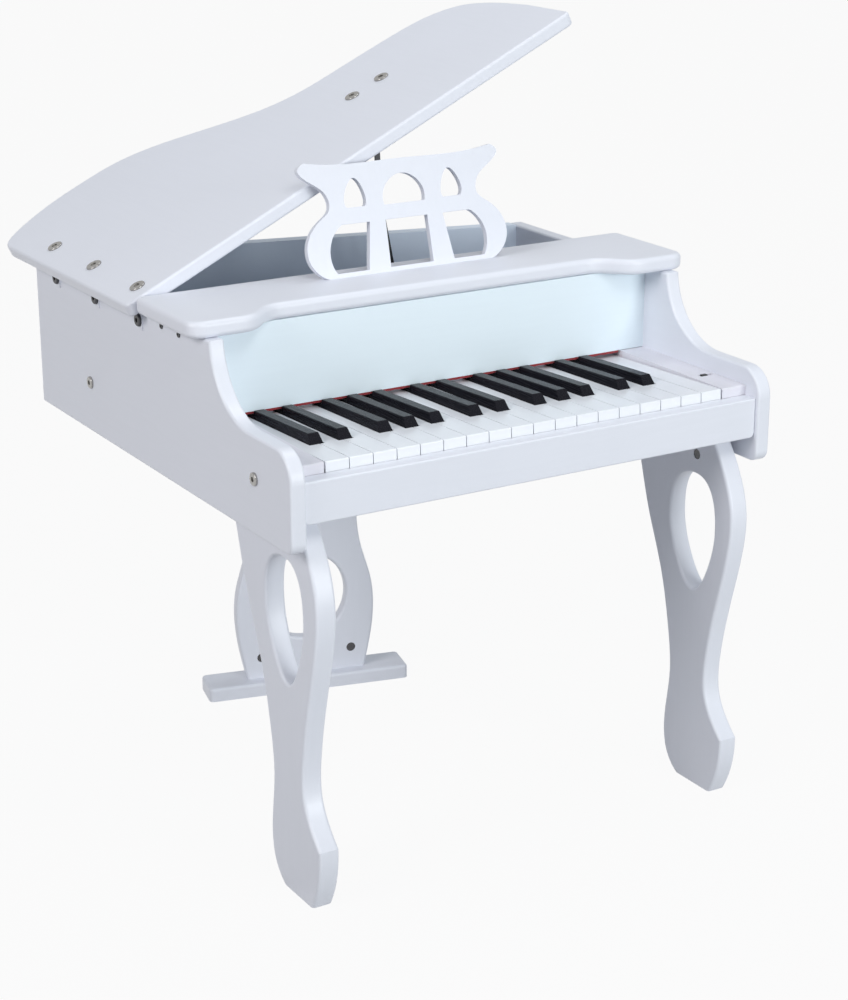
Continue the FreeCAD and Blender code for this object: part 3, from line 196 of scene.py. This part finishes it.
ebony = Finish("black_key_plastic")
ebony_lines = ebony.noise(900.0, 2.0, (1, 0.03, 1))
ebony.set(Base_Color=ebony.blend(ebony_lines, (0.006, 0.006, 0.009, 1), (0.014, 0.014, 0.019, 1)),
          Roughness=0.22 + ebony_lines * 0.1)
ebony.shader.inputs["Specular IOR Level"].default_value = 0.1
ebony.bump(ebony_lines, 0.00002)

# %% [markdown]
# ## Metals
# The connector bolts and the lid's bolts are nickel plated, with rounded heads. Their two
# tones are set far darker than nickel: painted reflection of dark surroundings in the heads.
# The screws and the folding stay are darker, with a dull zinc skin. Fine scratches in the
# roughness keep the small heads from looking like beads.

# %% Metal finishes
OILED = (0.05, 0.05, 0.055, 1), (0.12, 0.12, 0.125, 1)


def plated(name, tones, low, high):
    """Finely scratched metal, with its dark and bright tones and its range of roughness."""
    metal = Finish(name)
    wear = metal.noise(1500.0, 3.0)
    metal.set(Base_Color=metal.blend(wear, *tones), Metallic=1.0,
              Roughness=low + wear * (high - low))
    return metal.bump(wear, 0.00001)


# Both tones are far darker than nickel: painted reflection of dark surroundings in the rounded
# heads.
nickel = plated("nickel_plate_painted_reflection", ((0.24, 0.235, 0.23, 1), (0.47, 0.46, 0.44, 1)), 0.12, 0.30)
dark_zinc = plated("dark_zinc", OILED, 0.3, 0.5)

# %% [markdown]
# The bolts in the side panels and the barrel nuts in the legs are one CAD piece, but the
# nuts are plain oiled steel, much darker than the nickel of the bolts. The bolts' heads
# are the only ones outside the case, so the distance from the middle of the piano tells
# them apart, and one material can serve both.

# %% Steel that is nickel plated outside the case
# These bolt tones are far darker than nickel too: painted reflection in the bolts' heads.
NICKEL_WITH_PAINTED_REFLECTION = (0.26, 0.255, 0.25, 1), (0.48, 0.47, 0.45, 1)
case_half = -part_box("left_side_panel")[0].x
fittings_steel = plated("fittings_steel", NICKEL_WITH_PAINTED_REFLECTION, 0.12, 0.30)
sideways = fittings_steel.node("SeparateXYZ", inputs={"Vector": fittings_steel.place()})
outside = sideways.math("ABSOLUTE", 0.0) > case_half - 0.0005
grain = fittings_steel.noise(900.0, 2.0)
fittings_steel.set(Base_Color=fittings_steel.blend(
    outside, fittings_steel.blend(grain, *OILED), fittings_steel.blend(grain, *NICKEL_WITH_PAINTED_REFLECTION)))

# %% [markdown]
# ## Inside finishes
# Under the lid and behind the keys are the parts that make the sound: black moulded
# plastic, a green contact board and grey rubber. They are seldom seen, but they are seen
# when the lid is up, so each has its own plain finish.

# %% Moulded plastic, rubber and the board
def moulded(name, colour, low=0.45):
    """Plastic or rubber from a mould, with a fine grain."""
    plastic = Finish(name)
    grain = plastic.noise(900.0, 3.0)
    plastic.set(Base_Color=plastic.blend(grain, shade(colour, 0.8), shade(colour, 1.25)),
                Roughness=low + grain * 0.2)
    return plastic.bump(grain, 0.00004)


frame_black = moulded("frame_plastic", (0.035, 0.035, 0.038))
rubber = moulded("contact_rubber", (0.28, 0.28, 0.29), 0.6)

solder_mask = Finish("solder_mask")
tracks = solder_mask.node("TexWave", {"wave_type": "BANDS", "bands_direction": "Y"},
                          {"Vector": solder_mask.place(), "Scale": 120.0, "Distortion": 2.5,
                           "Detail": 1.0})
solder_mask.set(Base_Color=solder_mask.blend(tracks, (0.015, 0.09, 0.035, 1),
                                             (0.03, 0.17, 0.07, 1)),
                Roughness=0.25 + tracks * 0.1)
solder_mask.bump(tracks, 0.00003)

# %% [markdown]
# ## Red felt
# A strip of pressed felt closes the gap between the keys and the fallboard. Felt is a mat
# of short fibres, so it has no weave: fine noise in the bump, a rough surface, and a little
# sheen at the edges, where fibres stand up.

# %% Felt
felt_red = Finish("red_felt")
fibres = felt_red.noise(1400.0, 4.0, roughness=0.7)
mat_tone = felt_red.noise(90.0, 2.0)
felt_red.set(Base_Color=felt_red.blend(fibres * 0.7 + mat_tone * 0.3, (0.20, 0.008, 0.012, 1),
                                       (0.46, 0.035, 0.045, 1)), Roughness=0.95)
felt_red.shader.inputs["Sheen Weight"].default_value = 0.4
felt_red.bump(fibres, 0.0004)

# %% [markdown]
# ## Put the finishes on the CAD pieces
# A CAD piece keeps its shape and its place, and only its material slots change. The
# boards are sorted by the way they were sanded: the long panels and the lid along the
# piano, the rails and the shelf across it, and the legs up and down.

# %% Dress the CAD pieces
boards = {
    long_paint: ["left_side_panel", "right_side_panel", "lid", "bottom_board"],
    cross_paint: ["key_slip", "music_shelf", "rear_foot_bar"],
    cheek_paint: ["cheek_blocks"],
    fallboard_painted_light: ["fallboard"],
    back_painted_light: ["back_panel"],
    upright_paint: ["front_leg_left", "front_leg_right", "rear_leg", "music_stand",
                    "hinge_case_leaves", "hinge_lid_leaves"],
    nickel: ["lid_bolts"],
    fittings_steel: ["connector_fittings"],
    dark_zinc: ["side_screws", "stay_upper_link", "stay_lower_link", "stay_lid_bracket",
                "stay_foot_bracket"],
    frame_black: ["key_frame", "power_switch", "battery_tray"],
    rubber: ["rubber_contacts"],
    solder_mask: ["circuit_board"],
}


def dress(piece, finish):
    piece.data.materials.clear()
    piece.data.materials.append(finish.material)


for finish, names in boards.items():
    for name in names:
        dress(nodes[name], finish)
for name, node in nodes.items():
    if name.startswith("white_key"):
        dress(node, ivory)
    if name.startswith("black_key"):
        dress(node, ebony)

# %% [markdown]
# ## A helper for new pieces
# Each new piece starts as a bmesh, gets its shape from mesh operators, and becomes an
# object at the origin with its place in its mesh, as the CAD pieces have.

# %% Make a piece from a bmesh
def finish_piece(name, shape, finish, body, stands_for=(), smooth=True):
    """Turn a bmesh into a dressed object that rides on a body of the frame."""
    bmesh.ops.recalc_face_normals(shape, faces=shape.faces)
    mesh = bpy.data.meshes.new(name)
    shape.to_mesh(mesh)
    shape.free()
    for face in mesh.polygons:
        face.use_smooth = smooth
    piece = bpy.data.objects.new(name, mesh)
    bpy.context.scene.collection.objects.link(piece)
    mesh.materials.append(finish.material)
    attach(piece, body)
    if stands_for:
        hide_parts(*stands_for)
    print(name, "faces", len(mesh.polygons))


def add_block(shape, low, high):
    """A box between two corners, added to a bmesh."""
    low, high = Vector(low), Vector(high)
    size = high - low
    made = bmesh.ops.create_cube(shape, size=1.0)["verts"]
    bmesh.ops.scale(shape, vec=size, verts=made)
    bmesh.ops.translate(shape, vec=(low + high) / 2, verts=made)


def spun(profile, start, along, steps):
    """A closed profile of (radius, distance) pairs, spun about an axis from its start."""
    shape = bmesh.new()
    ring = [shape.verts.new(start + Vector((r, 0, 0)) + along * d) for r, d in profile]
    edges = [shape.edges.new((a, b)) for a, b in zip(ring, ring[1:] + ring[:1])]
    bmesh.ops.spin(shape, geom=ring + edges, cent=start, axis=along, angle=2 * pi, steps=steps,
                   use_merge=True)
    bmesh.ops.remove_doubles(shape, verts=shape.verts, dist=1e-6)
    return shape


# %% [markdown]
# ## The felt strip
# The CAD strip is a plain bar. The real one is cut from a sheet and glued under the
# fallboard, so its edges are soft and its face isn't flat. A bar is divided along its
# length, its edges are bevelled, and each point near its front face moves by a hair, from a
# sum of sines so that it is the same each time.

# %% Make the felt strip
low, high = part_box("key_felt")
felt = bmesh.new()
add_block(felt, low + Vector((0.0005, 0.0006, 0.0002)), high - Vector((0.0005, 0.0004, 0)))
long_edges = [e for e in felt.edges if abs(e.verts[0].co.x - e.verts[1].co.x) > 0.1]
bmesh.ops.subdivide_edges(felt, edges=long_edges, cuts=160, use_grid_fill=True)
rims = [e for e in felt.edges if e.calc_face_angle(0) > 1.0]
bmesh.ops.bevel(felt, geom=rims, offset=0.0006, offset_type="OFFSET", segments=2, profile=0.5,
                affect="EDGES", material=-1)
front = low.y + 0.003
for vert in felt.verts:
    if vert.co.y < front:
        x = vert.co.x * 1000
        vert.co.y += 0.00018 * (sin(x * 0.9) + sin(x * 0.37 + 1) + 0.6 * sin(x * 2.3))
        vert.co.z += 0.00010 * (sin(x * 0.7 + 2) + sin(x * 1.9))
finish_piece("felt_strip", felt, felt_red, "case", ["key_felt"])

# %% [markdown]
# ## The loudspeaker
# A small loudspeaker is a pressed basket with a paper cone in it and a magnet behind.
# Every part of it is round, so one profile spun about its axis makes the metal, and a
# second makes the cone.

# %% Make the loudspeaker
UP, BACK = Vector((0, 0, 1)), Vector((0, 1, 0))
low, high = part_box("speaker")
foot = Vector(((low.x + high.x) / 2, (low.y + high.y) / 2, low.z))
r, h = (high.x - low.x) / 2, high.z - low.z
basket = spun([(r * 0.80, 0.0002), (r * 0.99, 0.0002), (r * 0.99, 0.0022), (r * 0.88, 0.0026),
               (r * 0.62, h * 0.42), (r * 0.5, h * 0.46), (r * 0.5, h * 0.97),
               (r * 0.47, h * 0.995), (r * 0.05, h * 0.995), (r * 0.05, h * 0.5),
               (r * 0.44, h * 0.42), (r * 0.58, h * 0.36)], foot, UP, 64)
finish_piece("speaker_basket", basket, dark_zinc, "case", ["speaker"], False)

paper = Finish("cone_paper")
pulp = paper.noise(400.0, 4.0)
paper.set(Base_Color=paper.blend(pulp, (0.03, 0.03, 0.03, 1), (0.07, 0.065, 0.06, 1)),
          Roughness=0.9)
paper.bump(pulp, 0.0003)
cone = spun([(r * 0.79, 0.0006), (r * 0.74, 0.0024), (r * 0.69, 0.0010), (r * 0.30, h * 0.26),
             (r * 0.05, h * 0.20), (r * 0.05, h * 0.235), (r * 0.30, h * 0.30),
             (r * 0.68, 0.0022), (r * 0.74, 0.0036), (r * 0.79, 0.0018)], foot, UP, 64)
finish_piece("speaker_cone", cone, paper, "case")

# %% [markdown]
# ## The cells in their tray
# The tray stays as it is. The plain rods in it get the look of dry cells: a steel can with
# a rolled rim and a button, and a printed sleeve around it, here with no print. Both are
# round, so each is a closed profile spun about the cell's own axis. The cans are a hair
# larger than the rods, and so cover them.

# %% Make the cells
CELL_COUNT, CELL_PITCH, CELL_R, CELL_L = 4, 0.014, 0.0069, 0.050
CAN_R = CELL_R + 0.00004
WRAP_IN, WRAP_OUT = CELL_R - 0.0005, CELL_R + 0.00008
can = [(0.0002, -0.0004), (0.0024, -0.0004), (0.0028, -0.0001), (0.0060, -0.0001),
       (CAN_R, 0.0008), (CAN_R, CELL_L - 0.0006), (0.0060, CELL_L + 0.0001),
       (0.0002, CELL_L + 0.0001)]
wrap = [(WRAP_IN, 0.0016), (WRAP_OUT, 0.0016), (WRAP_OUT, CELL_L - 0.0012),
        (WRAP_IN, CELL_L - 0.0012)]
low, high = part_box("battery_tray")
middle = (low + high) / 2
starts = [Vector((middle.x + (k - (CELL_COUNT - 1) / 2) * CELL_PITCH, middle.y - CELL_L / 2,
                  high.z - CELL_R)) for k in range(CELL_COUNT)]


def in_each_place(profile):
    """One bmesh with the profile spun at every cell."""
    whole = bmesh.new()
    for start in starts:
        shape = spun(profile, start, BACK, 32)
        part = bpy.data.meshes.new("part")
        shape.to_mesh(part)
        shape.free()
        whole.from_mesh(part)
        bpy.data.meshes.remove(part)
    return whole


sleeve = Finish("cell_sleeve")
scuffs = sleeve.noise(300.0, 3.0)
sleeve.set(Base_Color=sleeve.blend(scuffs, (0.05, 0.10, 0.22, 1), (0.07, 0.14, 0.30, 1)),
           Roughness=0.3 + scuffs * 0.15)
finish_piece("cell_cans", in_each_place(can), nickel, "case")
finish_piece("cell_sleeves", in_each_place(wrap), sleeve, "case", smooth=False)

# %% [markdown]
# ## Parts on the contact board
# The board has small chips between the rubber domes and its edge. They
# are blocks with bevelled tops, in two rows, and their legs are too small to see.

# %% Make the board's parts
CHIP_COUNT = 14
low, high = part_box("circuit_board")
chips = bmesh.new()
for k in range(CHIP_COUNT):
    x = low.x + (high.x - low.x) * (k + 0.5) / CHIP_COUNT
    wide = 0.006 if k % 3 else 0.011        # every third is a larger one
    add_block(chips, (x - wide / 2, high.y - 0.0062, high.z - 0.0001),
              (x + wide / 2, high.y - 0.0018, high.z + 0.0014))
    add_block(chips, (x + 0.008, low.y + 0.0016, high.z - 0.0001),
              (x + 0.0096, low.y + 0.0048, high.z + 0.0009))
bmesh.ops.bevel(chips, geom=chips.edges[:], offset=0.0002, offset_type="OFFSET", segments=1,
                profile=0.5, affect="EDGES", material=-1)
finish_piece("board_chips", chips, frame_black, "case", smooth=False)

# %% [markdown]
# ## Floor and light
# The floor is white and wide. Rays from the camera see it nearly glowing, so the picture's
# ground stays white, while a small part of it is still lit, which keeps a faint shadow
# under the feet. Large soft lamps stand in front on the right and further off on the left,
# with weaker ones above the front and above the right end of the lid.

# %% Lay the floor
FLOOR_GLOW = 0.94       # the rest of what the camera sees of the floor is lit
floor_mesh = bmesh.new()
bmesh.ops.create_grid(floor_mesh, x_segments=1, y_segments=1, size=30.0)
floor_data = bpy.data.meshes.new("studio_floor")
floor_mesh.to_mesh(floor_data)
floor_mesh.free()
floor = bpy.data.objects.new("studio_floor", floor_data)
bpy.context.scene.collection.objects.link(floor)
ground = Finish("studio_white")
ground.set(Base_Color=(0.42, 0.42, 0.43, 1), Roughness=0.9)
glow = ground.node("Emission", inputs={"Color": (1, 1, 1, 1), "Strength": 1.0})
path = ground.node("LightPath", out="Is Camera Ray")
shiny = ground.node("LightPath", out="Is Glossy Ray")
seen = (path + shiny) * FLOOR_GLOW
lit = Value(ground, ground.shader.outputs[0])
both = ground.node("MixShader", inputs={0: seen, 1: lit, 2: glow})
ground.tree.links.new(both.socket, ground.tree.nodes["Material Output"].inputs["Surface"])
floor_data.materials.append(ground.material)

# %% Light the room
world = bpy.data.worlds.new("studio")
bpy.context.scene.world = world
world.use_nodes = True
sky = world.node_tree
sky_path = sky.nodes.new("ShaderNodeLightPath")
room = sky.nodes["Background"]
room.inputs["Color"].default_value = (0.82, 0.91, 1.0, 1)
room.inputs["Strength"].default_value = 0.24
white = sky.nodes.new("ShaderNodeBackground")
white.inputs["Strength"].default_value = 1.0
either = sky.nodes.new("ShaderNodeMath")
either.operation = "MAXIMUM"
choose = sky.nodes.new("ShaderNodeMixShader")
sky.links.new(sky_path.outputs["Is Camera Ray"], either.inputs[0])
sky.links.new(sky_path.outputs["Is Glossy Ray"], either.inputs[1])
sky.links.new(either.outputs[0], choose.inputs[0])
sky.links.new(room.outputs[0], choose.inputs[1])
sky.links.new(white.outputs[0], choose.inputs[2])
sky.links.new(choose.outputs[0], sky.nodes["World Output"].inputs["Surface"])

aim = Vector((0, 0, 0.4))


def soft_lamp(name, place, size, power, colour=(1, 1, 1)):
    """A round lamp that faces the middle of the piano."""
    data = bpy.data.lights.new(name, "AREA")
    data.shape, data.size, data.energy, data.color = "DISK", size, power, colour
    lamp = bpy.data.objects.new(name, data)
    lamp.location = place
    lamp.rotation_euler = (aim - Vector(place)).to_track_quat("-Z", "Y").to_euler()
    bpy.context.scene.collection.objects.link(lamp)


soft_lamp("front_lamp", (0.9, -3.2, 0.95), 1.4, 45, (0.95, 0.99, 1.0))
soft_lamp("high_lamp", (-0.3, -2.0, 2.4), 1.2, 17)
soft_lamp("left_lamp", (-3.0, -0.6, 2.0), 1.6, 46, (1.0, 0.975, 0.98))
soft_lamp("right_lamp", (0.6, 0.2, 2.2), 0.8, 8, (0.92, 0.96, 1.0))
